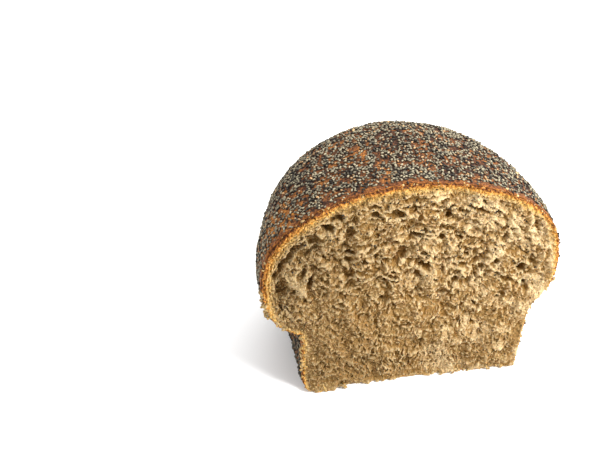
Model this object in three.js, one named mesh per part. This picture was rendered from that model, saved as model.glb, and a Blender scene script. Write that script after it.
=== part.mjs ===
// End piece of a poppy-seed bread loaf, baked in a tin and cut across with a knife.
// Millimetres, +Z up. X runs across the loaf and Y from the cut face (-Y) to the baked end (+Y).
// The origin is at the middle of the box on the floor. Crust and crumb are one solid.
import * as THREE from "three";
import { toCreasedNormals } from "three/addons/utils/BufferGeometryUtils.js";

// Driving dimensions.
const LENGTH = 76; // cut face to the outermost point of the baked end
const HEIGHT = 92; // floor to the top of the dome
const DOME_HALF_WIDTH = 59; // the dome overhangs the part that sat in the tin
const BASE_HALF_WIDTH = 44; // the tin's floor
const RIM_HEIGHT = 27; // the tin's rim, where the dome pushed out over it
const RIM_LEFT = 43.5; // half-width at the rim: the left wall is upright
const RIM_RIGHT = 48; // the right wall leans out
const WIDEST_LEFT = 50; // height of the widest point on each side
const WIDEST_RIGHT = 52;
const BOTTOM_EDGE_RADIUS = 4; // along the bottom edge of each side wall
const HEART_HEIGHT = 48; // the point of the end that sticks out most

// The ledge from the rim out to the widest point: how it leaves the rim, outwards and up, and how
// far under the widest point it turns upright. The left one juts out flat and the right one slants.
const LEDGE_LEFT = { out: 8.5, up: 2, turn: 12 };
const LEDGE_RIGHT = { out: 3, up: 6, turn: 15 };

// Roundness of the dome across the loaf: a superellipse with one power for each axis.
const DOME_POWER_X = 1.766;
const DOME_POWER_Z = 2.494;

// How the baked end closes: how far from the end each part starts to narrow, and how squarely.
const DOME_NARROWS = { over: 83, power: 2.34 };
const DOME_DROPS = { over: 46, power: 2.3 };
const WALL_NARROWS = { over: 70, power: 4.2 };
const FOOT_LIFTS = { over: 70, power: 12, slack: 1.02 };
const END_WALL_LEAN = 6; // the end wall leans in by this much from its middle down to the floor
const END_WALL_STARTS = 0.4; // the share of the length after which it leans
const DOME_STARTS = RIM_HEIGHT - 2; // from here up the outline turns from wall to dome,
const DOME_IS_FULL = HEART_HEIGHT + 4; // and from here on it is all dome
const CREASE_ANGLE = Math.PI / 5; // a sharper edge than this, as round the cut, is shaded sharp

// Mesh density.
const DOME_STEPS = 15; // on each side
const LEDGE_STEPS = 6;
const WALL_STEPS = 4;
const CORNER_STEPS = 3;
const FLOOR_STEPS = 8;
const RING_COUNT = 24;
const RING_CROWDING = 2.2; // above 1, the rings crowd together towards the baked end

const cutFaceY = -LENGTH / 2;

// The outline of the cut face, anticlockwise seen from the front, from the left end of the floor.
function cutOutline() {
  const points = [];
  const add = (x, z) => points.push(new THREE.Vector2(x, z));
  const corner = BOTTOM_EDGE_RADIUS;

  function wall(side, rimX) {
    const line = [];
    const lean = (rimX - BASE_HALF_WIDTH) / (RIM_HEIGHT - corner);
    for (let i = 0; i < CORNER_STEPS; i++) {
      const a = ((i / CORNER_STEPS) * Math.PI) / 2;
      const x = BASE_HALF_WIDTH - corner + corner * Math.sin(a);
      line.push([side * x, corner * (1 - Math.cos(a))]);
    }
    for (let i = 0; i < WALL_STEPS; i++) {
      const z = corner + (i / WALL_STEPS) * (RIM_HEIGHT - corner);
      line.push([side * (BASE_HALF_WIDTH + lean * (z - corner)), z]);
    }
    return line;
  }

  function ledge(side, rimX, widestZ, { out, up, turn }) {
    const curve = new THREE.CubicBezierCurve(
      new THREE.Vector2(side * rimX, RIM_HEIGHT),
      new THREE.Vector2(side * (rimX + out), RIM_HEIGHT + up),
      new THREE.Vector2(side * DOME_HALF_WIDTH, widestZ - turn),
      new THREE.Vector2(side * DOME_HALF_WIDTH, widestZ),
    );
    return curve.getPoints(LEDGE_STEPS).slice(0, LEDGE_STEPS);
  }

  function domeSide(widestZ) {
    const arc = [];
    for (let i = 0; i < DOME_STEPS; i++) {
      const a = ((i / DOME_STEPS) * Math.PI) / 2;
      const x = DOME_HALF_WIDTH * Math.cos(a) ** (2 / DOME_POWER_X);
      arc.push([x, widestZ + (HEIGHT - widestZ) * Math.sin(a) ** (2 / DOME_POWER_Z)]);
    }
    return arc;
  }

  // Across the floor from left to right.
  const floorHalf = BASE_HALF_WIDTH - corner;
  for (let i = 0; i < FLOOR_STEPS; i++) add(floorHalf * ((2 * i) / FLOOR_STEPS - 1), 0);
  // Up the right side: the wall, the ledge and the dome.
  for (const [x, z] of wall(1, RIM_RIGHT)) add(x, z);
  for (const p of ledge(1, RIM_RIGHT, WIDEST_RIGHT, LEDGE_RIGHT)) add(p.x, p.y);
  for (const [x, z] of domeSide(WIDEST_RIGHT)) add(x, z);
  // Over the top and down the left side: the dome, the ledge and the wall.
  add(0, HEIGHT);
  for (const [x, z] of domeSide(WIDEST_LEFT).reverse()) add(-x, z);
  for (const p of ledge(-1, RIM_LEFT, WIDEST_LEFT, LEDGE_LEFT).reverse()) add(p.x, p.y);
  for (const [x, z] of wall(-1, RIM_LEFT).reverse().slice(0, -1)) add(x, z);
  return points;
}

// How much of its size a stretch keeps at a given distance from the cut face.
function keeps(distance, { over, power, slack = 1 }) {
  const along = THREE.MathUtils.clamp((distance - (LENGTH - over)) / over, 0, 1);
  return Math.min(1, slack * (1 - along ** power) ** (1 / power));
}

// The outline point p, carried back by a distance from the cut face.
function carriedBack(p, distance) {
  const domePart = THREE.MathUtils.smoothstep(p.y, DOME_STARTS, DOME_IS_FULL);
  const narrow = THREE.MathUtils.lerp(
    keeps(distance, WALL_NARROWS),
    keeps(distance, DOME_NARROWS),
    domePart,
  );
  const tall = keeps(distance, p.y > HEART_HEIGHT ? DOME_DROPS : FOOT_LIFTS);
  const z = HEART_HEIGHT + (p.y - HEART_HEIGHT) * tall;
  const below = THREE.MathUtils.clamp(1 - z / HEART_HEIGHT, 0, 1);
  const leaning = THREE.MathUtils.smoothstep(distance / LENGTH, END_WALL_STARTS, 1);
  const lean = END_WALL_LEAN * below * leaning;
  return new THREE.Vector3(p.x * narrow, cutFaceY + distance - lean, z);
}

// One closed body: a flat cut face, rings that follow the crust back, and the tip of the baked end.
function loafGeometry() {
  const outline = cutOutline();
  const count = outline.length;
  const vertices = [];
  for (let ring = 0; ring < RING_COUNT; ring++) {
    const left = 1 - ring / RING_COUNT;
    const distance = LENGTH * (1 - left ** RING_CROWDING);
    for (const p of outline) vertices.push(carriedBack(p, distance));
  }
  const cutCentre = vertices.push(new THREE.Vector3(0, cutFaceY, HEART_HEIGHT)) - 1;
  const tip = vertices.push(new THREE.Vector3(0, cutFaceY + LENGTH, HEART_HEIGHT)) - 1;

  const index = [];
  const lastRing = (RING_COUNT - 1) * count;
  for (let i = 0; i < count; i++) {
    const next = (i + 1) % count;
    index.push(cutCentre, i, next);
    for (let ring = 0; ring < RING_COUNT - 1; ring++) {
      const near = ring * count;
      const far = near + count;
      index.push(near + i, far + i, far + next);
      index.push(near + i, far + next, near + next);
    }
    index.push(tip, lastRing + next, lastRing + i);
  }

  const geometry = new THREE.BufferGeometry().setFromPoints(vertices);
  geometry.setIndex(index);
  return toCreasedNormals(geometry, CREASE_ANGLE);
}

const crust = new THREE.MeshStandardMaterial({
  name: "crust",
  color: 0x6e4a2e,
  roughness: 0.85,
  metalness: 0,
});

const loaf = new THREE.Mesh(loafGeometry(), crust);
loaf.name = "loaf";

const group = new THREE.Group();
group.name = "bread_loaf";
group.add(loaf);

export default group;
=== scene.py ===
"""The end piece of a poppy-seed tin loaf, standing on its base with the cut face to the camera.

Shapes are worked out in millimetres, in the CAD frame: X across the loaf, Y from the cut face
(-Y) to the baked end (+Y), Z up. They become metres when a mesh is made.
"""
import math

import bpy
import numpy as np
from mathutils import Matrix, Vector, kdtree


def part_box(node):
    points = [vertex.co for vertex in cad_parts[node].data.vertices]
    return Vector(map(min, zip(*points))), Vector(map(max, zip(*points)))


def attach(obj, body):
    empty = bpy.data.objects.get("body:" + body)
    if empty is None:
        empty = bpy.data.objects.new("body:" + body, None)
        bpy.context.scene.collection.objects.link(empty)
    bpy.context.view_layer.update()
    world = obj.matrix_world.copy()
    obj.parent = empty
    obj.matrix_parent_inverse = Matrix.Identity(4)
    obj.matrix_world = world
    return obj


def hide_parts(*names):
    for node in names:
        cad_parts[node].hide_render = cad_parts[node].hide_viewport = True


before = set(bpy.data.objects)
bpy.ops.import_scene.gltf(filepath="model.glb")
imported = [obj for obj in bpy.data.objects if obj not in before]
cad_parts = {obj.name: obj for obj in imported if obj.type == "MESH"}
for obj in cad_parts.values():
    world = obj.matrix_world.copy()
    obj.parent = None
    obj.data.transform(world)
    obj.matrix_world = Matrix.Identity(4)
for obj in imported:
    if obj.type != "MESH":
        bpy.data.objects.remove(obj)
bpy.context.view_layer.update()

MM = 0.001

# ---------------------------------------------------------------- driving sizes, millimetres
low, high = (np.array(corner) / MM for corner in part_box("loaf"))
LENGTH = high[1] - low[1]
HEIGHT = high[2]
DOME_HALF_WIDTH = (high[0] - low[0]) / 2
FRONT = low[1]  # the plane of the cut
BASE_HALF_WIDTH = 44.0
BOTTOM_EDGE_RADIUS = 4.0
RIM_HEIGHT = 27.0  # the tin's rim, where the dome pushed out over it
HEART_HEIGHT = 48.0  # the point of the baked end that sticks out most
# Each side: half-width at the rim, height of the widest point, how far out and up the ledge
# leaves the rim, and how far under the widest point it turns upright.
RIGHT_SIDE = (48.0, 52.0, 3.0, 6.0, 15.0)
LEFT_SIDE = (43.5, 50.0, 8.5, 2.0, 12.0)
DOME_POWER_X = 1.766  # the dome's roundness, a superellipse with one power for each axis
DOME_POWER_Z = 2.494
CREASE_ROUNDING = 1.1  # a baked crease is never sharp

# How the baked end closes: over which length each part narrows, and how squarely.
DOME_NARROWS = (83.0, 2.34)
DOME_DROPS = (46.0, 2.3)
WALL_NARROWS = (70.0, 4.2)
FOOT_LIFTS = (70.0, 12.0, 1.02)  # the last number is slack, which keeps the foot on the floor
END_WALL_LEAN = 6.0
END_WALL_STARTS = 0.4  # the share of the length after which the end wall leans
DOME_STARTS = RIM_HEIGHT - 2  # from here up the outline turns from wall to dome,
DOME_IS_FULL = HEART_HEIGHT + 4  # and from here on it is all dome

SKIN = 0.8  # thickness of the outer crust layer where the knife cut it
# The cut edge of the skin, from the inside out: the share of the skin that a ring lies in, and
# how far it lies behind the torn edge.
LIP = [(1.0, 0.75), (0.72, 0.30), (0.40, 0.12), (0.14, 0.18)]
SKIN_REACH = 6.0  # the inner side of the skin is closed this far behind the cut
CRUMB_REACH = 6.6  # and the block of crumb a little further back
CRUMB_INSET = 0.45  # the crumb comes this close to the outside
FLOOR_GAP = 0.02  # the loaf stays this far above the floor
CRUMB_STEP = 0.17
CRUST_STEP = 0.42

# The dome's left front is oranger: its middle and how far it reaches each way.
ORANGE_PLACE = np.array([-46.0, FRONT + 9, 72.0])
ORANGE_REACH = np.array([16.0, 12.0, 15.0])

ARCH_CENTRE = 25.0  # the arches of the crumb centre on a point this far below the floor
ARCH_RADIUS = HEIGHT * 0.72  # lengths along the arches are true at this radius
DEEPEST = 3.2  # from here on the hollows get deeper only slowly,
DEEPEST_SLACK = 1.5  # by this much at most, so that none goes through
# The torn bubbles, coarse to fine: size, depth and random seed.
BUBBLES = [(4.7, 2.3, 1), (2.7, 1.5, 2), (1.6, 0.95, 3)]
GRAINS = [(1.35, 0.55, 6), (0.85, 0.50, 7), (0.58, 0.30, 8)]  # size, rise and random seed
THIN_WALLS = [(3.1, 0.45, 91), (1.7, 0.40, 92), (1.0, 0.35, 93)]  # the same, for the walls
# The large openings in the cut: centre (X, Z), half-sizes, tilt and depth.
OPENINGS = [
    ((-52.4, 57.6), (4.2, 1.9), 1.05, 4.2),
    ((-48.6, 63.6), (4.0, 1.6), 0.85, 4.2),
    ((-44.2, 68.0), (3.4, 1.4), 0.65, 3.6),
    ((-50.6, 49.6), (4.0, 2.6), 1.0, 2.6),
    ((-43.2, 56.6), (3.4, 1.5), 0.9, 3.6),
    ((-40.4, 50.6), (2.8, 1.3), 1.2, 2.8),
    ((-50.3, 40.2), (2.4, 1.5), -0.3, 2.4),
    ((43.7, 48.6), (2.5, 2.4), 0.0, 5.0),
    ((-0.2, 82.0), (4.2, 1.3), -0.05, 2.0),
    ((10.2, 81.2), (3.4, 1.2), -0.30, 1.8),
    ((25.4, 77.4), (3.8, 1.2), -0.50, 2.0),
    ((2.2, 68.5), (3.2, 1.6), -0.15, 2.0),
    ((19.0, 52.6), (2.2, 1.3), 0.1, 1.6),
    ((46.5, 40.5), (2.0, 1.4), -0.5, 1.6),
]
GAS_HOLES = 60  # more openings, smaller and strewn over the upper crumb
LAYER_SPACING = 1.25  # between the layers of squeezed crumb on the left
# Below the layers the crumb tore out: centre (X, Z), reach each way and depth.
TORN_HOLLOW = ((-48.5, 46.0), (6.0, 9.0), 2.2)
FLAP_X = -37.5  # a flap of crust sticks out forwards at the floor here,
FLAP_OUT = 2.6  # by this much
CAVITY_RADIUS = 1.6  # a cavity is deeper than the mean of its surroundings, this far out
# Strands that bridge the hollows: both ends (X, Z), width and how far they stand out.
STRANDS = [
    ((-49.0, 56.6), (-46.8, 54.8), 1.2, 0.6),
    ((-46.8, 54.8), (-43.6, 47.6), 1.5, 1.6),
    ((-43.6, 47.6), (-42.0, 45.8), 1.0, 1.0),
    ((-50.5, 41.0), (-47.0, 36.0), 0.7, 0.0),
]

# Crumbs on the edge of the cut: the corners (X, Z) of the box whose part of the outline they hang
# on, how many, their sizes, how far they lie outside the outline, and how far behind the cut.
LEFT_CRUMBS = [
    ((-46, 3), (-42, 27), 46, (0.6, 1.4), (-1.0, 0.35), (-0.6, 0.8)),  # the left wall
    ((-70, -1), (70, 100), 240, (0.4, 0.9), (-1.6, -0.2), (-0.3, 0.5)),  # the whole outline
    ((-60, 29), (-50, 45), 80, (0.7, 1.4), (-1.5, -0.1), (-0.6, 1.4)),  # the left ledge
]
FOOT_AND_RIGHT_CRUMBS = [
    ((-46, -1), (-26, 1.5), 46, (0.8, 2.0), (-1.8, 0.0), (-3.2, -0.4)),  # the foot, left,
    ((9, -1), (45, 4), 46, (0.5, 1.2), (-1.4, 0.2), (-1.2, 0.3)),  # right
    ((-26, -1), (9, 1.5), 24, (0.5, 1.2), (-1.4, 0.1), (-1.0, 0.2)),  # and middle
    ((44, 6), (60, 46), 34, (0.6, 1.3), (-1.4, 0.25), (-0.3, 1.2)),  # the right wall and ledge
    ((56.5, 39), (60, 43), 7, (0.8, 1.5), (-0.6, 0.5), (-0.3, 0.8)),  # a tuft on that ledge
]
SHRED = np.array([(-58.6, 50.0), (-56.6, 37.0)])  # crust hangs down here from the widest point
SHRED_CRUMBS = 34
TATTERS_X = (12.8, 17.6, 31.4, 37.6)  # small tatters that point forwards along the floor
LEAF_SHAPE = ([0.9, 0.5, 0.22], [2.1, 1.2, 0.55])  # thinnest and thickest crumb, against its size

SEED_LENGTH = 1.28
SEED_SPACING = 0.86  # no two seeds lie closer than this
SEED_TRY_AREA = 0.30  # one try at a seed for each of these square millimetres
SEEDS_IN_CRUMB = 150
WARM_SHARE = 0.10  # of the seeds, how many are a warmer brown,
STRAW_SHARE = 0.001  # and how many are straw-coloured and longer
SEED_SLATE = np.array([0.152, 0.130, 0.086])
SEED_PALE = np.array([0.295, 0.252, 0.165])
SEED_DARK = np.array([0.014, 0.011, 0.008])
STRAW = (0.52, 0.35, 0.16)
# Pieces of seeds: a stretch of the loaf, where it starts and ends along Y, the half-width of its
# middle group, and that group's name.
SEED_GROUPS = [
    ("front", -math.inf, -14.0, 18.0, "top"),
    ("middle", -14.0, 14.0, 18.0, "top"),
    ("end", 14.0, math.inf, 12.0, "middle"),
]


# ---------------------------------------------------------------- small tools
def smoothstep(x, a, b):
    t = np.clip((x - a) / (b - a), 0.0, 1.0)
    return t * t * (3.0 - 2.0 * t)


def lerp(a, b, t):
    return a + (b - a) * t


RANDOM_TABLE = np.random.default_rng(11).uniform(-1.0, 1.0, 1 << 16).astype(np.float32)
TABLE_MASK = 0xFFFF
PRIME_X, PRIME_Y, PRIME_Z, PRIME_SEED = 73856093, 19349663, 83492791, 2654435761


def noise3(points, size, seed):
    """Smooth value noise from -1 to 1 at points (n, 3), with features about `size` across."""
    p = np.asarray(points, dtype=np.float64) / size + 1000.0 + 17.31 * seed
    cell = np.floor(p).astype(np.int64)
    f = p - cell
    f = f * f * f * (f * (f * 6.0 - 15.0) + 10.0)
    total = np.zeros(len(p))
    for dx, dy, dz in np.ndindex(2, 2, 2):
        key = ((cell[:, 0] + dx) * PRIME_X) ^ ((cell[:, 1] + dy) * PRIME_Y)
        key ^= ((cell[:, 2] + dz) * PRIME_Z) ^ (seed * PRIME_SEED)
        key ^= key >> 13
        weight = (f[:, 0] if dx else 1 - f[:, 0]) * (f[:, 1] if dy else 1 - f[:, 1])
        weight = weight * (f[:, 2] if dz else 1 - f[:, 2])
        total += weight * RANDOM_TABLE[key & TABLE_MASK]
    return total


def layered(points, *layers):
    """A sum of noises, each given as its amount, size and seed."""
    return sum(amount * noise3(points, size, seed) for amount, size, seed in layers)


def new_mesh(name, points, faces):
    """A mesh object from points in millimetres and faces, an array with one row per face."""
    faces = np.ascontiguousarray(faces, dtype=np.int32)
    starts = np.arange(0, faces.size, faces.shape[1], dtype=np.int32)
    mesh = bpy.data.meshes.new(name)
    mesh.vertices.add(len(points))
    mesh.vertices.foreach_set("co", (np.asarray(points) * MM).astype(np.float32).ravel())
    mesh.loops.add(faces.size)
    mesh.loops.foreach_set("vertex_index", faces.ravel())
    mesh.polygons.add(len(faces))
    mesh.polygons.foreach_set("loop_start", starts)
    mesh.update(calc_edges=True)
    mesh.polygons.foreach_set("use_smooth", np.ones(len(faces), dtype=bool))
    obj = bpy.data.objects.new(name, mesh)
    bpy.context.scene.collection.objects.link(obj)
    return obj


def point_values(obj, **values):
    """Puts values on the points of a mesh, for its material to read by name."""
    for name, value in values.items():
        layer = obj.data.attributes.new(name, "FLOAT", "POINT")
        layer.data.foreach_set("value", np.asarray(value, dtype=np.float32))


def point_colours(obj, name, colours):
    layer = obj.data.attributes.new(name, "FLOAT_COLOR", "POINT")
    rgba = np.ones((len(colours), 4), dtype=np.float32)
    rgba[:, :3] = colours
    layer.data.foreach_set("color", rgba.ravel())


def bake_map(obj, uv):
    """The UV map named OFBake, to bake colours on, one (u, v) for each face corner."""
    layer = obj.data.uv_layers.new(name="OFBake")
    layer.data.foreach_set("uv", np.asarray(uv, dtype=np.float32).ravel())


def copies(name, shape, faces, points):
    """One mesh of many copies of a shape, with the points of each copy in `points`."""
    number = len(points)
    table = faces[None] + (np.arange(number) * len(shape))[:, None, None]
    obj = new_mesh(name, points.reshape(-1, 3), table.reshape(-1, 3))
    # Bake map: a tile for each copy.
    tiles = math.ceil(math.sqrt(number))
    tile = np.stack([np.arange(number) % tiles, np.arange(number) // tiles], 1) + 0.5
    flat = shape[:, :2] / np.abs(shape).sum(axis=1, keepdims=True) * 0.8
    bake_map(obj, (tile[:, None, None] + flat[faces][None]) / tiles)
    return obj


# ---------------------------------------------------------------- the loaf's outer form
def superellipse(widest_z, steps=90):
    a = np.linspace(0, math.pi / 2, steps)
    x = DOME_HALF_WIDTH * np.cos(a) ** (2 / DOME_POWER_X)
    z = widest_z + (HEIGHT - widest_z) * np.sin(a) ** (2 / DOME_POWER_Z)
    return np.stack([x, z], 1)


def bezier(a, b, c, d, steps=40):
    t = np.linspace(0, 1, steps)[:, None]
    a, b, c, d = (np.array(p, float) for p in (a, b, c, d))
    return a * (1 - t) ** 3 + 3 * b * t * (1 - t) ** 2 + 3 * c * t * t * (1 - t) + d * t**3


def outline_half(rim, widest, out, up, turn):
    """Half of the cut's outline, from the middle of the floor to the top of the dome."""
    r = BOTTOM_EDGE_RADIUS
    a = np.linspace(0, math.pi / 2, 12)
    bottom_edge = np.stack([BASE_HALF_WIDTH - r + r * np.sin(a), r * (1 - np.cos(a))], 1)
    ledge = bezier((rim, RIM_HEIGHT), (rim + out, RIM_HEIGHT + up),
                   (DOME_HALF_WIDTH, widest - turn), (DOME_HALF_WIDTH, widest))
    return np.concatenate([[[0, 0]], bottom_edge, ledge, superellipse(widest)[1:]])


def cut_outline(spacing):
    """The outline of the cut, anticlockwise seen from the front, from the middle of the floor."""
    right = outline_half(*RIGHT_SIDE)
    left = outline_half(*LEFT_SIDE)[:-1]
    left[:, 0] *= -1
    loop = np.concatenate([right, left[::-1]])
    along = np.concatenate([[0], np.cumsum(np.linalg.norm(np.diff(loop, axis=0), axis=1))])
    count = int(round(along[-1] / spacing))
    at = np.linspace(0, along[-1], count, endpoint=False)
    line = np.stack([np.interp(at, along, loop[:, i]) for i in (0, 1)], 1)
    width = max(1, int(round(CREASE_ROUNDING / spacing)))
    smooth = sum(np.roll(line, k, axis=0) for k in range(-width, width + 1)) / (2 * width + 1)
    flat = (line[:, 1] < 0.01) & (smooth[:, 1] < 0.4)
    smooth[flat, 1] = 0.0
    return smooth


def outline_normals(line):
    """Outward directions (X, Z) of the outline at its points."""
    step = np.roll(line, -1, axis=0) - np.roll(line, 1, axis=0)
    normal = np.stack([step[:, 1], -step[:, 0]], 1)
    return normal / np.linalg.norm(normal, axis=1)[:, None]


def keeps(gap, over, power, slack=1.0):
    """How much of its size a stretch keeps at a gap from the outermost point of the end."""
    along = np.clip(gap / over, 0.0, 1.0)
    full = np.where(along >= 1.0, 1.0, -np.expm1(power * np.log1p(-np.minimum(along, 1 - 1e-12))))
    return np.minimum(1.0, slack * full ** (1 / power))


def carried_back(line, gap):
    """The outline carried back until `gap` millimetres are left to the outermost point."""
    x, z0 = line[:, 0], line[:, 1]
    dome = smoothstep(z0, DOME_STARTS, DOME_IS_FULL)
    narrow = lerp(keeps(gap, *WALL_NARROWS), keeps(gap, *DOME_NARROWS), dome)
    tall = np.where(z0 > HEART_HEIGHT, keeps(gap, *DOME_DROPS), keeps(gap, *FOOT_LIFTS))
    z = HEART_HEIGHT + (z0 - HEART_HEIGHT) * tall
    below = np.clip(1 - z / HEART_HEIGHT, 0, 1)
    distance = LENGTH - gap
    lean = END_WALL_LEAN * below * smoothstep(distance / LENGTH, END_WALL_STARTS, 1.0)
    return np.stack([x * narrow, FRONT + distance - lean, z], 1)


def crust_gaps(line, step):
    """The gaps of the rings from cut to end, so that no ring is over `step` from the next."""
    samples, probes, near_end, smallest = 900, 48, 1.0, 1e-13
    dense = np.concatenate([np.linspace(LENGTH, near_end, samples),
                            np.geomspace(near_end, smallest, samples)[1:]])
    probe = line[:: max(1, len(line) // probes)]
    rings = np.array([carried_back(probe, gap) for gap in dense])
    moved = np.linalg.norm(np.diff(rings, axis=0), axis=2).max(axis=1)
    along = np.concatenate([[0], np.cumsum(moved)])
    at = np.linspace(0, along[-1], int(round(along[-1] / step)))
    return np.exp(np.interp(at, along, np.log(dense)))


# ---------------------------------------------------------------- crust
def crust_relief(p):
    """How far the crust stands out from its smooth form: swellings, wrinkles and fine grain."""
    lumps = layered(p, (0.55, 17, 1), (0.30, 7.5, 2))
    wrinkles = -0.30 * np.abs(noise3(p, 4.2, 3)) - 0.16 * np.abs(noise3(p, 2.1, 4)) + 0.12
    grain = layered(p, (0.16, 1.1, 5), (0.10, 0.6, 6))
    tin = smoothstep(p[:, 2], RIM_HEIGHT + 4, RIM_HEIGHT - 3)  # pressed flat where it met the tin
    return lumps * lerp(1.0, 0.45, tin) + wrinkles * lerp(1.0, 0.5, tin) + grain


def toast(p):
    """From 0, dark reddish crust, to 1, bright orange crust with few seeds on it."""
    streaks = noise3(p * [0.6, 0.4, 1.0], 3.4, 21)
    patches = layered(p, (0.20, 8.0, 22), (0.40, 3.4, 23), (0.45, 1.8, 24))
    value = 0.36 + 0.30 * patches + 0.16 * streaks
    end = smoothstep(p[:, 1], 14, 36)
    left_front = np.exp(-(((p - ORANGE_PLACE) / ORANGE_REACH) ** 2).sum(axis=1))
    top = smoothstep(p[:, 2], 74, 90)
    return np.clip(value + 0.24 * end + 0.10 * left_front - 0.12 * top, 0, 1)


def seed_cover(p):
    """The share of the crust that seeds cover, from 0 to 1."""
    clusters = 0.9 * noise3(p, 1.3, 42) + 0.40 * noise3(p * [1, 0.7, 1], 2.5, 43)
    cover = 0.97 - 0.62 * smoothstep(0.70 * toast(p) - 0.66 * clusters, 0.0, 0.50)
    # Few seeds stayed on along the cut, and fewer stuck to the baked end.
    from_cut = p[:, 1] - FRONT + 1.2 * noise3(p, 3.0, 41)
    cover *= lerp(0.25, 1.0, smoothstep(from_cut, 0.5, 4.0))
    return cover * lerp(1.0, 0.78, smoothstep(p[:, 1], 10, 34))


def crust_surface(line, outward):
    """The outside of the crust as rings of points, smooth and with relief, and its normals."""
    smooth = np.array([carried_back(line, gap) for gap in crust_gaps(line, CRUST_STEP)])
    along = np.gradient(smooth, axis=0)
    around = np.roll(smooth, -1, axis=1) - np.roll(smooth, 1, axis=1)
    normal = np.cross(around, along)
    normal /= np.maximum(np.linalg.norm(normal, axis=2), 1e-9)[..., None]
    if (normal[3] * outward).sum() < 0:
        normal = -normal
    flat = smooth.reshape(-1, 3)
    relief = crust_relief(flat).reshape(smooth.shape[:2])
    torn = layered(flat, (0.34, 1.6, 31), (0.26, 0.8, 34)).reshape(relief.shape) - 0.12
    from_cut = smooth[..., 1] - FRONT
    height = relief * lerp(0.25, 1.0, smoothstep(from_cut, 0.0, 7.0))
    height += (1 - smoothstep(from_cut, 0.0, 2.5)) * torn
    # The relief fades where the rings close on the tip.
    from_axis = np.linalg.norm(smooth[..., [0, 2]] - [0, HEART_HEIGHT], axis=2)
    return smooth, smooth + normal * (height * smoothstep(from_axis, 0.0, 4.0))[..., None], normal


def skin_ring(ring, outward, inset, y):
    """The first ring of the crust moved inwards by `inset`, to lie at `y`."""
    moved = ring - outward * inset
    moved[:, 1] = y
    moved[:, 2] = np.maximum(moved[:, 2], 0.05)
    return moved


def wrap_faces(ring_count, count):
    """Triangles between rings of `count` points, and a fan at each end round a last point."""
    i = np.arange(count)
    after = (i + 1) % count
    quads = np.concatenate([
        np.stack([start + i, start + after, start + count + after, start + count + i], 1)
        for start in range(0, (ring_count - 1) * count, count)])
    last = (ring_count - 1) * count
    front_point, end_point = ring_count * count, ring_count * count + 1
    return np.concatenate([
        quads[:, [0, 1, 2]], quads[:, [0, 2, 3]],
        np.stack([np.full(count, front_point), after, i], 1),
        np.stack([np.full(count, end_point), last + i, last + after], 1)])


def wrap_bake_map(crust, triangles, ring_count, count):
    """The bake map of the wrap: its left and right halves lie one above the other."""
    ring_of = np.concatenate([np.repeat(np.arange(ring_count), count), [0, ring_count - 1]])
    place = np.concatenate([np.tile(np.arange(count), ring_count), [0, 0]])
    u = ring_of[triangles] / (ring_count - 1)
    around = place[triangles].astype(float)
    first = around[:, :1]
    around = np.where(around - first > count / 2, around - count, around)
    around = np.where(around - first < -count / 2, around + count, around)
    middle = around.mean(axis=1, keepdims=True)
    in_fan = np.any(triangles >= ring_count * count, axis=1)
    around[in_fan] = middle[in_fan]
    half = (middle % count) >= count / 2
    v = (around - np.where(half, count / 2, 0.0)) % count
    v = np.where(v > count * 0.75, v - count, v) / (count / 2)
    uv = np.stack([0.01 + 0.98 * u, 0.005 + 0.485 * v + 0.5 * half], 2)
    bake_map(crust, np.clip(uv, 0.001, 0.999))


def make_crust():
    """The crust with the cut edge of its skin. Also gives the rings that carry the seeds."""
    line = cut_outline(CRUST_STEP)
    out = outline_normals(line)
    outward = np.stack([out[:, 0], np.zeros(len(out)), out[:, 1]], 1)
    smooth, shaped, normal = crust_surface(line, outward)
    edge_y = FRONT + layered(smooth[0], (0.50, 2.6, 32), (0.60, 1.0, 33))
    shaped[0, :, 1] = edge_y + 0.45
    shaped[1, :, 1] = np.maximum(shaped[1, :, 1], edge_y + 0.62)
    skin = [skin_ring(smooth[0], outward, SKIN, FRONT + SKIN_REACH)]
    skin += [skin_ring(smooth[0], outward, SKIN * share, edge_y + behind) for share, behind in LIP]

    rings = np.concatenate([np.array(skin), shaped])
    rings[..., 2] = np.maximum(rings[..., 2], FLOOR_GAP)
    ring_count, count = rings.shape[:2]
    points = np.concatenate([rings.reshape(-1, 3), [[0, FRONT + SKIN_REACH, HEART_HEIGHT]],
                             rings[-1].mean(axis=0, keepdims=True)])
    triangles = wrap_faces(ring_count, count)
    crust = new_mesh("loaf_crust", points, triangles)
    wrap_bake_map(crust, triangles, ring_count, count)

    behind_cut = np.concatenate([rings[..., 1].ravel() - FRONT, [SKIN_REACH, LENGTH]])
    outside = np.concatenate([np.zeros(len(skin) * count), np.ones(shaped[..., 0].size), [0, 1]])
    off_floor = smoothstep(points[:, 2], 0.4, 2.0)  # there are no seeds on the underside
    point_values(crust, behind_cut=behind_cut, toast=toast(points),
                 seeded=seed_cover(points) * off_floor, outside=outside)
    return crust, shaped, normal


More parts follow.
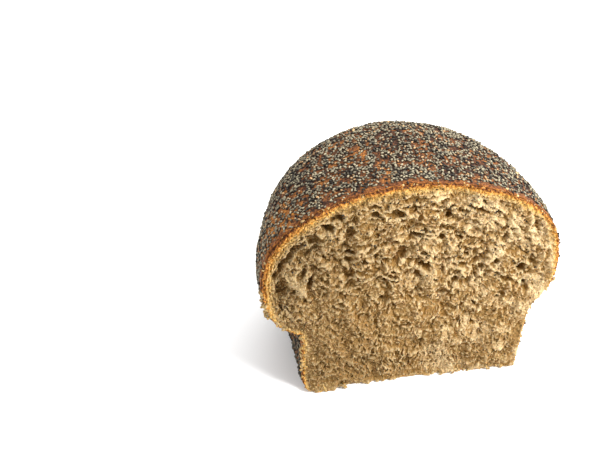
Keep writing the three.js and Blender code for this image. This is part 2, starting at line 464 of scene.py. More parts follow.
# ---------------------------------------------------------------- crumb
def torn_cells(s, t, size, seed):
    """Irregular cells on a plane: distances to the ridge and the centre, a random value each."""
    p, q = s / size, t / size
    i0, j0 = np.floor(p).astype(np.int64), np.floor(q).astype(np.int64)
    first = np.full(p.shape, 9.0)
    second = np.full(p.shape, 9.0)
    owner = np.zeros(p.shape, np.int64)
    for di, dj in np.ndindex(3, 3):
        i, j = i0 + di - 1, j0 + dj - 1
        key = (i * PRIME_X) ^ (j * PRIME_Y) ^ (seed * PRIME_Z)
        key = (key ^ (key >> 15)) & TABLE_MASK
        centre_p = i + 0.5 + 0.46 * RANDOM_TABLE[key]
        centre_q = j + 0.5 + 0.46 * RANDOM_TABLE[(key * 7 + 13) & TABLE_MASK]
        away = np.hypot(p - centre_p, q - centre_q)
        nearer = away < first
        second = np.where(nearer, first, np.minimum(second, away))
        owner = np.where(nearer, key, owner)
        first = np.where(nearer, away, first)
    chance = 0.5 + 0.5 * RANDOM_TABLE[(owner * 31 + 5) & TABLE_MASK]
    return (second - first) * size, first * size, chance


def bubble_depth(p, wx, wz, upper, open_crumb):
    """How deep the torn bubbles are, less the grains and thin walls that stand up between them."""
    # Bubbles stretch along arches under the dome.
    around = np.arctan2(wx, wz + ARCH_CENTRE) * ARCH_RADIUS
    outward = np.hypot(wx, wz + ARCH_CENTRE)
    shares = (upper * open_crumb,
              (0.10 + 0.90 * open_crumb) * lerp(0.75, 1.0, upper),
              lerp(0.6, 0.75, upper))
    deep = np.zeros_like(wx)
    for (size, depth, seed), share in zip(BUBBLES, shares):
        ridge, _, chance = torn_cells(around + 7.7 * seed, outward, size, seed)
        broken = 0.42 * size * noise3(p, 1.3 * size, 80 + seed)
        bowl = smoothstep(ridge + broken, 0.0, 0.62 * size)
        deep += share * depth * bowl * (0.2 + 1.15 * chance**2)
    for size, rise, seed in GRAINS:
        _, centre, chance = torn_cells(wx + 5.3 * seed, wz, size, seed)
        deep -= rise * smoothstep(centre, 0.62 * size, 0.0) * (0.1 + 1.2 * chance**2)
    arched = np.stack([around * 0.75, np.zeros_like(wx), outward], 1)
    for size, rise, seed in THIN_WALLS:
        wall = 1.0 - np.abs(noise3(arched, size, seed))
        deep -= rise * wall**9 * (0.35 + 0.65 * open_crumb) * lerp(0.6, 1.0, upper)
    return deep


def openings():
    """The large openings and the gas holes: centre, half-sizes, tilt and depth of each."""
    rng = np.random.default_rng(31)
    holes = list(OPENINGS)
    for _ in range(GAS_HOLES):
        turn, reach = rng.uniform(-0.35, math.pi + 0.35), rng.uniform(0.15, 0.93)
        x = DOME_HALF_WIDTH * reach * math.cos(turn)
        z = HEART_HEIGHT + 42 * reach * math.sin(turn)
        size = rng.uniform(0.8, 1.5)
        tilt = math.atan2(-x, z + ARCH_CENTRE) + rng.normal(0, 0.3)
        half = (size * rng.uniform(1.0, 2.0), size)
        holes.append(((x, z), half, tilt, size * rng.uniform(1.0, 2.0)))
    return holes


def opening_depth(x, z):
    """How deep the openings are at places on the cut."""
    deep = np.zeros_like(x)
    for centre, half, tilt, depth in openings():
        dx, dz = x - centre[0], z - centre[1]
        along = (dx * math.cos(tilt) + dz * math.sin(tilt)) / half[0]
        across = (dz * math.cos(tilt) - dx * math.sin(tilt)) / half[1]
        deep += depth * smoothstep(np.hypot(along, across), 1.10, 0.65)
    return deep


def add_strands(deep, x, z, wx, wz):
    """Pulls the crumb out onto the strands. Gives the new depth and how much is strand."""
    strands = np.zeros_like(deep)
    for (ax, az), (bx, bz), width, rise in STRANDS:
        run_x, run_z = bx - ax, bz - az
        t = np.clip(((x - ax) * run_x + (z - az) * run_z) / (run_x**2 + run_z**2), 0, 1)
        away = np.hypot(lerp(x, wx, 0.4) - ax - t * run_x, lerp(z, wz, 0.4) - az - t * run_z)
        on_strand = np.exp(-(away / width) ** 4)
        strands = np.maximum(strands, on_strand)
        deep = lerp(deep, 0.25 * deep - rise, on_strand)
    return deep, strands


def crumb_relief(x, z, rim):
    """How deep the torn crumb lies behind the plane of the cut, and where the strands are."""
    p = np.stack([x, np.zeros_like(x), z], 1)
    wx = x + layered(p, (0.55, 1.9, 51), (1.1, 6.0, 52), (0.25, 0.8, 53))
    wz = z + layered(p, (0.55, 1.9, 54), (1.1, 6.0, 55), (0.25, 0.8, 56))
    upper = smoothstep(z + 6 * noise3(p, 14, 57), 22, 58)
    calm = smoothstep(rim, 0.2, 5.0)  # 0 at the crust, where the crumb is dense
    left = smoothstep(-x, 34, 58)
    deep = bubble_depth(p, wx, wz, upper, smoothstep(rim, 1.0, 7.0))
    deep += opening_depth((x + wx) / 2, (z + wz) / 2) * smoothstep(rim, 0.8, 2.2)
    lumps = layered(p, (1.1, 9.0, 58), (1.25, 4.6, 59), (0.45, 1.9, 60))
    deep = lerp(0.55, 1.0, calm) * deep + lerp(0.3, 1.0, calm) * lumps
    # On the left the crumb was squeezed into layers along the crust.
    from_crust = rim + layered(p, (0.7, 5.0, 74), (0.25, 1.6, 75))
    layers = np.sin(from_crust * (2 * math.pi / LAYER_SPACING))
    squeezed = smoothstep(-x, 24, 40) * smoothstep(rim, 8.5, 5.0) * smoothstep(z, 40, 48)
    deep = lerp(deep, 0.55 * deep + 0.42 * layers, squeezed)
    (hollow_x, hollow_z), (reach_x, reach_z), hollow_depth = TORN_HOLLOW
    hollow = np.exp(-((x - hollow_x) / reach_x) ** 2 - ((z - hollow_z) / reach_z) ** 2)
    deep += hollow_depth * hollow * smoothstep(rim, 1.0, 4.0)
    deep, strands = add_strands(deep, x, z, wx, wz)
    too_deep = (deep - DEEPEST) / DEEPEST_SLACK
    deep = np.where(too_deep > 0, DEEPEST + DEEPEST_SLACK * np.tanh(too_deep), deep)
    # Grain all over, and a rough singed rim.
    coarse = lerp(0.8, 1.15, smoothstep(z, 20, 60)) * (1.0 + 0.9 * left)
    grain = coarse * layered(p, (0.30, 0.75, 61), (0.26, 0.42, 62))
    singed = layered(p, (0.40, 1.3, 76), (0.30, 0.7, 77))
    deep += 0.6 * left * calm + grain + (1 - calm) * singed
    # Along the floor the crust tore forwards.
    torn = smoothstep(z, 3.2, 0.4) * (0.4 + layered(p, (0.9, 3.5, 68), (0.5, 1.2, 69)))
    flap = FLAP_OUT * smoothstep(z, 4.5, 0.6) * smoothstep(np.abs(x - FLAP_X), 9.5, 6.0)
    return deep - lerp(0.7, 1.0, calm) - torn - flap, strands


def rim_distance(points, line):
    """How far inside the outline each (x, z) point lies, millimetres; negative outside."""
    best = np.full(len(points), np.inf)
    for start, end in zip(line, np.roll(line, -1, axis=0)):
        side = end - start
        to_point = points - start
        t = np.clip((to_point @ side) / (side @ side), 0, 1)
        np.minimum(best, ((to_point - t[:, None] * side) ** 2).sum(axis=1), out=best)
    # The outline is seen whole from its heart, so a polar test tells inside from outside.
    heart = np.array([0, HEART_HEIGHT])
    line_angle = np.arctan2(line[:, 1] - heart[1], line[:, 0])
    line_reach = np.linalg.norm(line - heart, axis=1)
    order = np.argsort(line_angle)
    from_heart = points - heart
    reach = np.interp(np.arctan2(from_heart[:, 1], from_heart[:, 0]), line_angle[order],
                      line_reach[order], period=2 * math.pi)
    inside = np.linalg.norm(from_heart, axis=1) < reach
    return np.where(inside, 1, -1) * np.sqrt(best)


def rim_width(x, z):
    """How wide the baked band under the crust is at a place on the cut, against 1 at the top."""
    left = lerp(1.0, 1.15, smoothstep(-x, 20, 50))
    right = lerp(1.0, 0.70, smoothstep(x, 20, 50))
    foot = lerp(0.20, 0.45, smoothstep(-x, 34, 41) * smoothstep(z, 1, 4))
    return lerp(foot, np.where(x < 0, left, right), smoothstep(z, RIM_HEIGHT + 6, RIM_HEIGHT + 24))


def blurred(field, radius):
    """The mean of a grid over a square window."""
    size = 2 * radius + 1
    for _ in range(2):  # along the first axis, then along the other
        total = np.cumsum(np.pad(field, ((radius + 1, radius), (0, 0)), mode="edge"), axis=0)
        field = ((total[size:] - total[:-size]) / size).T
    return field


def crumb_block(p, kept):
    """A closed block with the kept part of a grid as its front: its points, its triangles and,
    for each point, its place in the grid, or -1 on the back."""
    total = kept.size
    number = np.arange(total).reshape(kept.shape)
    whole = kept[:-1, :-1] & kept[1:, :-1] & kept[:-1, 1:] & kept[1:, 1:]
    quads = np.stack([number[:-1, :-1][whole], number[1:, :-1][whole],
                      number[1:, 1:][whole], number[:-1, 1:][whole]], 1)
    # Boundary edges are the quad edges used once.
    sides = np.concatenate([quads[:, [k, (k + 1) % 4]] for k in range(4)])
    _, first, uses = np.unique(np.sort(sides, axis=1) @ [total, 1],
                               return_index=True, return_counts=True)
    border = sides[first[uses == 1]]
    ends = np.unique(border)
    behind = p[ends].copy()
    behind[:, 1] = FRONT + CRUMB_REACH
    points = np.concatenate([p, behind, [[0, FRONT + CRUMB_REACH, HEART_HEIGHT]]])
    to_back = np.full(total, -1)
    to_back[ends] = total + np.arange(len(ends))
    a, b = border[:, 0], border[:, 1]
    hub = np.full(len(a), len(points) - 1)
    triangles = np.concatenate([
        quads[:, [0, 1, 2]], quads[:, [0, 2, 3]],
        np.stack([b, a, to_back[a]], 1), np.stack([b, to_back[a], to_back[b]], 1),
        np.stack([to_back[b], to_back[a], hub], 1)])
    used = np.unique(triangles)
    fresh = np.full(len(points), -1)
    fresh[used] = np.arange(len(used))
    return points[used], fresh[triangles], np.where(used < total, used, -1)


def make_crumb():
    """The torn face of the cut, a fine relief in front of a block that reaches into the loaf."""
    columns = int(2 * DOME_HALF_WIDTH / CRUMB_STEP) + 1
    rows = int(HEIGHT / CRUMB_STEP) + 1
    grid_x, grid_z = np.meshgrid(-DOME_HALF_WIDTH + CRUMB_STEP * np.arange(columns),
                                 CRUMB_STEP * np.arange(rows), indexing="ij")
    x, z = grid_x.ravel(), grid_z.ravel()
    rim = rim_distance(np.stack([x, z], 1), cut_outline(1.2))
    deep, strands = crumb_relief(x, z, rim)
    around = blurred(deep.reshape(grid_x.shape), int(CAVITY_RADIUS / CRUMB_STEP)).ravel()
    # The cavity value drives painted shade in the recesses and painted highlight on the ridges and
    # strands.
    cavity = deep - around - 1.3 * strands
    p = np.stack([x, FRONT + deep, z], 1)
    # Torn flakes lean over the hollows next to them.
    lean = p * [1.0, 1.6, 1.0]
    calm = smoothstep(rim, 0.5, 3.0)
    p[:, 0] += calm * layered(lean, (0.45, 1.7, 63), (0.20, 0.7, 64))
    p[:, 2] += calm * layered(lean, (0.45, 1.7, 65), (0.20, 0.7, 66))
    kept = rim > CRUMB_INSET + 0.12 * noise3(p, 1.2, 67)
    points, triangles, source = crumb_block(p, kept.reshape(grid_x.shape))
    points[:, 2] = np.maximum(points[:, 2], 0.05)
    crumb = new_mesh("loaf_crumb", points, triangles)
    on_back = source < 0
    point_values(crumb, rim=np.where(on_back, 0.0, (rim / rim_width(x, z))[source]),
                 depth=np.where(on_back, 3.0, deep[source]),
                 cavity=np.where(on_back, 0.0, cavity[source]))

    # Bake map: the face fills most of it, and the hidden sides lie in the strip above.
    width = 2 * DOME_HALF_WIDTH + 3
    flat = np.stack([points[:, 0] + width / 2, points[:, 2] + 1], 1) / width
    uv = flat[triangles] * 0.99 + 0.005
    hidden = on_back[triangles].any(axis=1)
    uv[hidden] *= 0.15
    uv[hidden, :, 1] += (HEIGHT + 3) / width * 0.99 + 0.01
    bake_map(crumb, np.clip(uv, 0.0005, 0.9995))
    return crumb


# ---------------------------------------------------------------- torn crumbs round the cut
def ball(detail):
    """A ball of triangles one unit across: an icosahedron, its faces cut in four `detail` times."""
    t = (1 + math.sqrt(5)) / 2
    points = [np.array(v, float) / math.hypot(1, t) for v in (
        (-1, t, 0), (1, t, 0), (-1, -t, 0), (1, -t, 0), (0, -1, t), (0, 1, t),
        (0, -1, -t), (0, 1, -t), (t, 0, -1), (t, 0, 1), (-t, 0, -1), (-t, 0, 1))]
    faces = [(0, 11, 5), (0, 5, 1), (0, 1, 7), (0, 7, 10), (0, 10, 11), (1, 5, 9), (5, 11, 4),
             (11, 10, 2), (10, 7, 6), (7, 1, 8), (3, 9, 4), (3, 4, 2), (3, 2, 6), (3, 6, 8),
             (3, 8, 9), (4, 9, 5), (2, 4, 11), (6, 2, 10), (8, 6, 7), (9, 8, 1)]
    for _ in range(detail):
        middles = {}
        finer = []
        for a, b, c in faces:
            mids = []
            for pair in ((a, b), (b, c), (c, a)):
                key = tuple(sorted(pair))
                if key not in middles:
                    middles[key] = len(points)
                    middle = points[key[0]] + points[key[1]]
                    points.append(middle / np.linalg.norm(middle))
                mids.append(middles[key])
            ab, bc, ca = mids
            finer += [(a, ab, ca), (b, bc, ab), (c, ca, bc), (ab, bc, ca)]
        faces = finer
    return np.array(points) * 0.5, np.array(faces)


def crumbs_on_edge(rng):
    """Where crumbs hang on the edge of the cut, one (x, y, z, size) for each."""
    line = cut_outline(0.4)
    out = outline_normals(line)
    crumbs = []

    def along_edge(low_corner, high_corner, count, sizes, reach, forward):
        inside = np.all((line > low_corner) & (line < high_corner), axis=1)
        for k in rng.choice(np.nonzero(inside)[0], count):
            away = rng.uniform(*reach)
            x, z = line[k] + out[k] * away
            size = rng.uniform(*sizes) * (1.0 - 0.35 * max(away, 0) / max(reach[1], 0.1))
            crumbs.append((x, FRONT + rng.uniform(*forward), max(z, 0.3 * size), size))

    for stretch in LEFT_CRUMBS:
        along_edge(*stretch)
    for step in np.linspace(0, 1, SHRED_CRUMBS):
        x, z = lerp(SHRED[0], SHRED[1], step) + rng.normal(0, 0.22, 2)
        crumbs.append((x, FRONT + rng.uniform(-0.5, 0.9), z, rng.uniform(1.0, 1.9)))
    for stretch in FOOT_AND_RIGHT_CRUMBS:
        along_edge(*stretch)
    for x in TATTERS_X:
        for step in range(3):
            spot = (x + rng.normal(0, 0.3), FRONT - 0.7 - 0.6 * step, 1.4 - 0.35 * step)
            crumbs.append((*spot, 1.3 - 0.2 * step))
    return np.array(crumbs)


def make_torn_crumbs():
    """Crumbs and shreds that the knife left hanging on the edge of the cut."""
    rng = np.random.default_rng(23)
    crumbs = crumbs_on_edge(rng)
    number = len(crumbs)
    size = crumbs[:, 3]
    shape, faces = ball(2)
    # Each crumb is a rough leaf, turned at random.
    turn, _ = np.linalg.qr(rng.normal(0, 1, (number, 3, 3)))
    leaf = rng.uniform(*LEAF_SHAPE, (number, 3))
    stretched = shape[None] * leaf[:, None] * size[:, None, None]
    offset = np.einsum("nij,nkj->nki", turn, stretched)
    points = crumbs[:, None, :3] + offset
    rough = layered(points.reshape(-1, 3), (0.55, 0.7, 71), (0.30, 0.35, 72))
    away = offset / np.maximum(np.linalg.norm(offset, axis=2), 1e-6)[..., None]
    points += away * (rough.reshape(number, -1) * size[:, None])[..., None]
    points[..., 2] = np.maximum(points[..., 2], 0.03)
    torn = copies("torn_crumbs", shape, faces, points)
    flat = points.reshape(-1, 3)
    # Their negative cavity values make the crumb material paint them paler, a painted highlight.
    point_values(torn, rim=np.repeat(rng.uniform(2.6, 4.8, number), len(shape)),
                 depth=np.zeros(len(flat)), cavity=0.5 * noise3(flat, 0.8, 73) - 0.7)
    return torn


# ---------------------------------------------------------------- poppy seeds
def seed_shape():
    """A kidney-shaped seed one unit long, as points and triangles."""
    points, faces = ball(1)
    points *= [1.0, 0.66, 0.60]
    points[:, 1] += 0.55 * (points[:, 0] ** 2 - 0.08)  # bend it into a kidney
    return points, faces


def seeds_on_crust(shaped, normal, rng):
    """Places on the crust where seeds lie, its normals there, and the sizes of the seeds."""
    a, b = shaped[:-1, :], shaped[1:, :]
    c, d = np.roll(b, -1, axis=1), np.roll(a, -1, axis=1)
    area = 0.5 * np.linalg.norm(np.cross(c - a, b - d), axis=2)
    share = area.ravel() / area.sum()
    tries = int(area.sum() / SEED_TRY_AREA)
    pick = rng.choice(len(share), tries, p=share)
    u = rng.uniform(0, 1, (tries, 1))
    v = rng.uniform(0, 1, (tries, 1))
    a, b, c, d = (corner.reshape(-1, 3)[pick] for corner in (a, b, c, d))
    place = (a * (1 - u) + d * u) * (1 - v) + (b * (1 - u) + c * u) * v
    up = normal[:-1].reshape(-1, 3)[pick]
    size = rng.normal(1.0, 0.09, tries).clip(0.78, 1.25)
    # A seed keeps all others at a distance: the first comer stays.
    tree = kdtree.KDTree(tries)
    for k, p in enumerate(place):
        tree.insert(p, k)
    tree.balance()
    kept = np.zeros(tries, bool)
    crowded = np.zeros(tries, bool)
    for k in rng.permutation(tries):
        if not crowded[k]:
            kept[k] = True
            for _, other, _ in tree.find_range(place[k], SEED_SPACING * size[k]):
                crowded[other] |= not kept[other]
    place, up, size = place[kept], up[kept], size[kept]
    underneath = (place[:, 2] < 1.2) & (up[:, 2] < -0.3)
    stays = (rng.uniform(0, 1, len(place)) < seed_cover(place)) & ~underneath
    return place[stays], up[stays], size[stays]


def seeds_in_crumb(crumb, rng):
    """Places and sizes of seeds baked into the upper crumb or dragged onto the cut."""
    face = np.empty(len(crumb.data.vertices) * 3, np.float32)
    crumb.data.vertices.foreach_get("co", face)
    face = face.reshape(-1, 3) / MM
    chance = smoothstep(face[:, 2], 35, 85) * (face[:, 1] < FRONT + 1.2)
    pick = rng.choice(len(face), SEEDS_IN_CRUMB, p=chance / chance.sum())
    return face[pick], rng.uniform(0.5, 0.85, SEEDS_IN_CRUMB)


def seed_colours(place, loose, rng):
    """The colour of each seed, and which seeds are straw-coloured."""
    tone = rng.normal(0, 1, len(place)) + 0.20 * noise3(place, 6.0, 44)
    colour = lerp(SEED_SLATE, SEED_PALE, smoothstep(tone, 0.0, 1.5)[:, None])
    colour = lerp(colour, SEED_DARK, smoothstep(-tone, 0.1, 1.1)[:, None])
    warm = rng.uniform(0, 1, len(place)) < WARM_SHARE
    colour[warm] *= [1.5, 1.05, 0.75]
    # Seeds on the lower wall are darker: partly real, duller seeds pressed against the tin, partly
    # painted shade under the dome's ledge.
    tin_side_and_shade = smoothstep(place[:, 2], RIM_HEIGHT + 3, RIM_HEIGHT - 3)
    colour *= lerp(1.0, 0.55, tin_side_and_shade)[:, None]
    colour[loose] = SEED_DARK * 1.5
    straw = ~loose & (rng.uniform(0, 1, len(place)) < STRAW_SHARE)
    colour[straw] = STRAW
    return colour, straw


def seed_groups(place, loose):
    """Which seeds go into which piece."""
    x, y = place[:, 0], place[:, 1]
    groups = {}
    for stretch, start, end, border, middle in SEED_GROUPS:
        here = (y >= start) & (y < end) & ~loose
        groups[f"poppy_seeds_{stretch}_left"] = here & (x < -border)
        groups[f"poppy_seeds_{stretch}_{middle}"] = here & (np.abs(x) <= border)
        groups[f"poppy_seeds_{stretch}_right"] = here & (x > border)
    groups["poppy_seeds_in_crumb"] = loose
    return groups


def make_seeds(shaped, normal, crumb):
    """The seeds on the crust and in the crumb, one mesh for each group."""
    rng = np.random.default_rng(7)
    place, up, size = seeds_on_crust(shaped, normal, rng)
    loose_place, loose_size = seeds_in_crumb(crumb, rng)
    loose = np.repeat([False, True], [len(place), len(loose_place)])
    place = np.concatenate([place, loose_place])
    up = np.concatenate([up, np.tile([0.0, -1.0, 0.0], (len(loose_place), 1))])
    size = np.concatenate([size, loose_size])
    # Each seed lies on its side, turned at random, and rocks a little.
    up = up + rng.normal(0, 0.22, place.shape)
    up /= np.linalg.norm(up, axis=1)[:, None]
    side = np.cross(up, rng.normal(0, 1, place.shape))
    side /= np.linalg.norm(side, axis=1)[:, None]
    axes = np.stack([side, np.cross(up, side), up], 1)
    length = SEED_LENGTH * size
    centre = place + up * (rng.uniform(0.02, 0.30, len(place)) * length)[:, None]
    colour, straw = seed_colours(place, loose, rng)
    length[straw] *= 1.3

    shape, faces = seed_shape()
    bright = lerp(0.06, 1.15, smoothstep(shape[:, 2], -0.14, 0.24))  # painted highlight on the top of each seed, painted shade on its underside
    objects = []
    for name, group in seed_groups(place, loose).items():
        local = shape[None] * length[group, None, None]
        points = centre[group, None] + local @ axes[group]
        points[..., 2] = np.maximum(points[..., 2], FLOOR_GAP)
        seeds = copies(name, shape, faces, points)
        point_colours(seeds, "seed_colour",
                      (colour[group, None] * bright[None, :, None]).reshape(-1, 3))
        objects.append(seeds)
    return objects


# ---------------------------------------------------------------- materials
class Nodes:
    """A small helper that adds nodes to a material and links them."""

    def __init__(self, name):
        self.material = bpy.data.materials.new(name)
        self.material.use_nodes = True
        self.tree = self.material.node_tree
        self.shader = self.tree.nodes["Principled BSDF"]
        self.object = self.node("ShaderNodeTexCoord", "Object", {})

    def put(self, socket, value):
        if isinstance(value, bpy.types.NodeSocket):
            self.tree.links.new(value, socket)
        else:
            socket.default_value = value

    def node(self, kind, output, inputs, **settings):
        """Adds a node, gives it its inputs and settings, and returns one of its outputs."""
        node = self.tree.nodes.new(kind)
        for key, value in settings.items():
            setattr(node, key, value)
        for key, value in inputs.items():
            self.put(node.inputs[key], value)
        return node.outputs[output]

    def noise(self, size_mm, detail=3.0, roughness=0.55):
        return self.node("ShaderNodeTexNoise", "Fac", {
            "Vector": self.object, "Scale": 1 / (size_mm * MM), "Detail": detail,
            "Roughness": roughness})

    def voronoi(self, size_mm, output="Distance"):
        return self.node("ShaderNodeTexVoronoi", output, {
            "Vector": self.object, "Scale": 1 / (size_mm * MM)})

    def object_axis(self, axis):
        return self.node("ShaderNodeSeparateXYZ", axis, {"Vector": self.object})

    def channel(self, colour, name):
        return self.node("ShaderNodeSeparateColor", name, {"Color": colour})

    def attribute(self, name, output="Fac"):
        return self.node("ShaderNodeAttribute", output, {}, attribute_name=name)

    def math(self, operation, a, b, clamp=False):
        return self.node("ShaderNodeMath", 0, {0: a, 1: b}, operation=operation, use_clamp=clamp)

    def times(self, a, b):
        return self.math("MULTIPLY", a, b)

    def plus(self, a, b, clamp=False):
        return self.math("ADD", a, b, clamp)

    def swing(self, noise, amount):
        """A noise turned about its middle, so that it swings to either side of 0."""
        return self.times(self.math("SUBTRACT", noise, 0.5), amount)

    def above(self, value, limit):
        return self.math("GREATER_THAN", value, limit)

    def ramp(self, value, *stops):
        result = self.node("ShaderNodeValToRGB", "Color", {"Fac": value})
        elements = result.node.color_ramp.elements
        while len(elements) < len(stops):
            elements.new(0.5)
        for element, (at, colour) in zip(elements, stops):
            element.position = at
            element.color = (*colour, 1.0)
        return result

    def fade(self, value, start, end):
        """0 up to the start and 1 from the end on, smooth in between."""
        return self.node("ShaderNodeMapRange", "Result", {
            "Value": value, "From Min": start, "From Max": end}, interpolation_type="SMOOTHSTEP")

    def mix(self, factor, a, b, blend="MIX"):
        node = self.tree.nodes.new("ShaderNodeMix")
        node.data_type = "RGBA"
        node.blend_type = blend
        self.put(node.inputs["Factor"], factor)
        for name, value in (("A", a), ("B", b)):
            socket = next(s for s in node.inputs if s.name == name and s.type == "RGBA")
            self.put(socket, (*value, 1.0) if isinstance(value, tuple) else value)
        return next(s for s in node.outputs if s.type == "RGBA")

    def tint(self, colour, where, strength, other):
        """The colour mixed with another, by up to `strength` where `where` is 1."""
        return self.mix(self.times(where, strength), colour, other)

    def bump(self, height, strength, distance_mm):
        self.put(self.shader.inputs["Normal"], self.node("ShaderNodeBump", "Normal", {
            "Height": height, "Strength": strength, "Distance": distance_mm * MM}))

    def finish(self, **inputs):
        """Sets the shader's inputs, whose names have _ for a space, and gives the material."""
        for name, value in inputs.items():
            self.put(self.shader.inputs[name.replace("_", " ")], value)
        return self.material


def crumb_body(n, cavity):
    """The colour of the crumb away from the crust, with painted shade and highlight on its relief
    and painted light and shade across it.
    """
    to_right = n.fade(n.object_axis("X"), -0.02, 0.03)
    to_left = n.fade(n.object_axis("X"), -0.020, -0.045)
    body = n.ramp(n.noise(2.6, 4.0, 0.6), (0.25, (0.155, 0.080, 0.020)),
                  (0.5, (0.260, 0.153, 0.050)), (0.75, (0.39, 0.262, 0.108)))
    speckle = n.ramp(n.noise(0.75, 4.0, 0.7), (0.32, (0.52, 0.46, 0.36)), (0.68, (1.28, 1.30, 1.32)))
    body = n.mix(0.85, body, speckle, "MULTIPLY")
    brown = n.mix(0.45, body, (0.23, 0.118, 0.028))
    body = n.mix(n.fade(n.noise(11.0), 0.35, 0.65), body, brown)
    # Painted light: paler cream patches towards the right, where the light falls.
    painted_light_right = n.times(n.fade(n.noise(7.0), 0.46, 0.68), to_right)
    body = n.tint(body, painted_light_right, 0.75, (0.66, 0.50, 0.28))
    # Painted shade: recesses and deep hollows are darker and browner. Painted highlight: ridges are
    # paler.
    body = n.tint(body, n.fade(cavity, -0.1, 1.1), 0.75, (0.225, 0.108, 0.011))
    body = n.tint(body, n.fade(cavity, 0.0, -0.9), 0.6, (0.62, 0.475, 0.265))
    body = n.tint(body, n.fade(n.attribute("depth"), 1.3, 3.4), 0.80, (0.150, 0.064, 0.007))
    # Painted shade: the left side and the foot are a little darker and greyer.
    shade = n.plus(n.times(n.fade(n.object_axis("X"), 0.005, -0.050), 0.46),
                   n.times(n.fade(n.object_axis("Z"), 0.045, 0.0), 0.10))
    body = n.mix(shade, body, (0.115, 0.066, 0.020))
    # Bran flecks: orange, dark, brown and, on the left, pale.
    spot = n.math("LESS_THAN", n.voronoi(1.3), 0.34)
    chance = n.voronoi(1.3, "Color")
    orange = n.times(n.above(n.channel(chance, "Red"), 0.92), spot)
    dark = n.times(n.above(n.channel(chance, "Green"), 0.945), spot)
    body = n.tint(body, orange, 0.5, (0.34, 0.16, 0.040))
    body = n.tint(body, dark, 0.85, (0.05, 0.026, 0.014))
    bran = n.math("LESS_THAN", n.noise(0.85, 3.0, 0.7), 0.385)
    body = n.tint(body, bran, n.plus(0.45, n.times(to_left, 0.45)), (0.105, 0.045, 0.010))
    pale = n.times(n.above(n.noise(0.9, 3.0, 0.7), 0.60), to_left)
    return n.tint(body, pale, 0.60, (0.62, 0.46, 0.23))


def crumb_material():
    n = Nodes("crumb")
    cavity = n.attribute("cavity")
    # Towards the crust the crumb turns golden, then orange brown.
    wander = n.plus(n.attribute("rim"), n.swing(n.noise(1.2, 4.0, 0.75), 6.5))
    # Recesses lean further into the darker baked colours, and ridges away from them: painted shade
    # and highlight.
    wander = n.plus(wander, n.times(cavity, -0.5))
    baked = n.ramp(n.math("DIVIDE", wander, 6.0, clamp=True),
                   (0.06, (0.075, 0.023, 0.007)), (0.14, (0.24, 0.080, 0.013)),
                   (0.27, (0.43, 0.200, 0.032)), (0.46, (0.47, 0.290, 0.085)),
                   (0.75, (0.52, 0.365, 0.145)))
    specks = n.ramp(n.noise(0.9, 4.0, 0.75), (0.36, (0.34, 0.24, 0.16)), (0.56, (1.25, 1.25, 1.25)))
    baked = n.mix(0.85, baked, specks, "MULTIPLY")
    n.bump(n.noise(0.55, 3.0, 0.65), 0.8, 0.35)
    return n.finish(
        Base_Color=n.mix(n.fade(wander, 5.6, 1.8), crumb_body(n, cavity), baked),
        Roughness=0.85, Specular_IOR_Level=0.25, Subsurface_Weight=0.2,
        Subsurface_Radius=(1.0, 0.55, 0.25), Subsurface_Scale=0.9 * MM)


def crust_material():
    n = Nodes("crust")
    toasted = n.plus(n.attribute("toast"), n.swing(n.noise(0.9, 5.0, 0.78), 2.3), clamp=True)
    colour = n.ramp(toasted, (0.06, (0.024, 0.010, 0.006)), (0.30, (0.105, 0.040, 0.016)),
                    (0.56, (0.25, 0.092, 0.020)), (0.88, (0.48, 0.190, 0.030)))
    # Along the cut the crust is redder and more singed.
    behind_cut = n.plus(n.attribute("behind_cut"), n.times(n.noise(2.2), 2.0))
    near_cut = n.fade(behind_cut, 3.6, 1.0)
    colour = n.tint(colour, near_cut, 0.45, (0.22, 0.066, 0.016))
    singed = n.ramp(n.noise(0.9, 4.0, 0.75), (0.38, (0.30, 0.25, 0.25)), (0.60, (1.35, 1.35, 1.35)))
    colour = n.mix(n.plus(n.times(near_cut, 0.5), 0.35), colour, singed, "MULTIPLY")
    # Painted shade: between crowded seeds the crust is darkened almost to black.
    crowd = n.plus(n.attribute("seeded"), n.swing(n.noise(1.0), 0.4))
    colour = n.tint(colour, n.fade(crowd, 0.52, 0.92), 0.88, (0.016, 0.009, 0.006))
    # The cut edge of the skin itself.
    cut_edge = n.math("SUBTRACT", 1.0, n.attribute("outside"), clamp=True)
    edge_colour = n.ramp(n.noise(1.2), (0.35, (0.12, 0.036, 0.010)), (0.65, (0.34, 0.130, 0.022)))
    n.bump(n.noise(0.7, 5.0, 0.65), 0.9, 0.35)
    return n.finish(Base_Color=n.mix(cut_edge, colour, edge_colour),
                    Roughness=n.plus(0.50, n.times(n.noise(1.1), 0.35)), Specular_IOR_Level=0.14)


def seed_material():
    n = Nodes("poppy_seed")
    pits = n.voronoi(0.16)
    shade = n.ramp(pits, (0.1, (0.55, 0.55, 0.55)), (0.6, (1.15, 1.15, 1.15)))
    n.bump(pits, 0.5, 0.05)
    return n.finish(Base_Color=n.mix(1.0, n.attribute("seed_colour", "Color"), shade, "MULTIPLY"),
                    Roughness=0.6, Specular_IOR_Level=0.22)


def floor_material():
    return Nodes("pale_floor").finish(Base_Color=(0.93, 0.93, 0.93, 1.0), Roughness=0.9,
                                      Specular_IOR_Level=0.1)


# ---------------------------------------------------------------- build
crumb = make_crumb()
crust, shaped, normal = make_crust()
seeds = make_seeds(shaped, normal, crumb)
torn_crumbs = make_torn_crumbs()

crumb_finish = crumb_material()
crumb.data.materials.append(crumb_finish)
torn_crumbs.data.materials.append(crumb_finish)
crust.data.materials.append(crust_material())
seed_finish = seed_material()
for piece in seeds:
    piece.data.materials.append(seed_finish)

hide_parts("loaf")
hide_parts("loaf")
for piece in [crust, crumb, torn_crumbs, *seeds]:
    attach(piece, "root")

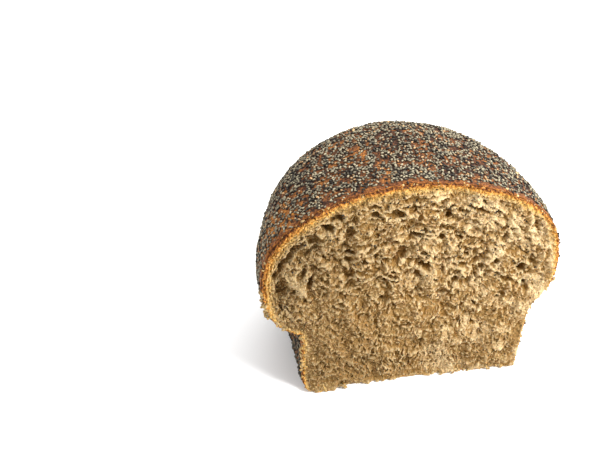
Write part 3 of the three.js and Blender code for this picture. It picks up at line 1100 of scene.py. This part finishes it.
# ---------------------------------------------------------------- floor, light and camera, metres
FLOOR_HALF = 3.0
floor_mesh = bpy.data.meshes.new("floor")
corners = [(x * FLOOR_HALF, y * FLOOR_HALF, 0) for x, y in ((-1, -1), (1, -1), (1, 1), (-1, 1))]
floor_mesh.from_pydata(corners, [], [(0, 1, 2, 3)])
floor_mesh.materials.append(floor_material())
floor = bpy.data.objects.new("floor", floor_mesh)
bpy.context.scene.collection.objects.link(floor)

# Each lamp: name, place, diameter and power in watts. All point at the middle of the loaf.
LAMPS = [
    ("key_right_back", (0.42, 0.18, 0.66), 1.7, 13.6),
    ("fill_front_right", (0.46, -0.42, 0.52), 0.30, 9.3),
    ("fill_left", (-0.62, -0.16, 0.42), 0.25, 1.1),
]
loaf_middle = Vector((0, 0, 0.045))
for name, place, diameter, power in LAMPS:
    light = bpy.data.lights.new(name, "AREA")
    light.shape = "DISK"
    light.size = diameter
    light.energy = power
    lamp = bpy.data.objects.new(name, light)
    lamp.location = place
    lamp.rotation_euler = (loaf_middle - Vector(place)).to_track_quat("-Z", "Y").to_euler()
    bpy.context.scene.collection.objects.link(lamp)

world = bpy.data.worlds.new("studio")
bpy.context.scene.world = world
world.use_nodes = True
background = world.node_tree.nodes["Background"]
background.inputs["Color"].default_value = (1.0, 1.0, 1.0, 1.0)
background.inputs["Strength"].default_value = 0.82
bpy.context.scene.view_settings.view_transform = "Standard"

# The camera looks down at the cut face from the front left, from 60 cm away.
CAMERA_YAW = math.radians(7.9)
CAMERA_PITCH = math.radians(33.8)
CAMERA_ROLL = math.radians(1.64)
CAMERA_DISTANCE = 0.598
CAMERA_AIM = Vector((-0.0429, FRONT * MM, 0.0788))  # left of the loaf, in the plane of the cut
camera_data = bpy.data.cameras.new("camera")
camera_data.sensor_width = 36.0
camera_data.lens = 96.0
camera = bpy.data.objects.new("camera", camera_data)
turn = (Matrix.Rotation(-CAMERA_YAW, 4, "Z") @ Matrix.Rotation(math.pi / 2 - CAMERA_PITCH, 4, "X")
        @ Matrix.Rotation(-CAMERA_ROLL, 4, "Z"))
back_off = Matrix.Translation((0, 0, CAMERA_DISTANCE))
camera.matrix_world = Matrix.Translation(CAMERA_AIM) @ turn @ back_off
bpy.context.scene.collection.objects.link(camera)
bpy.context.scene.camera = camera
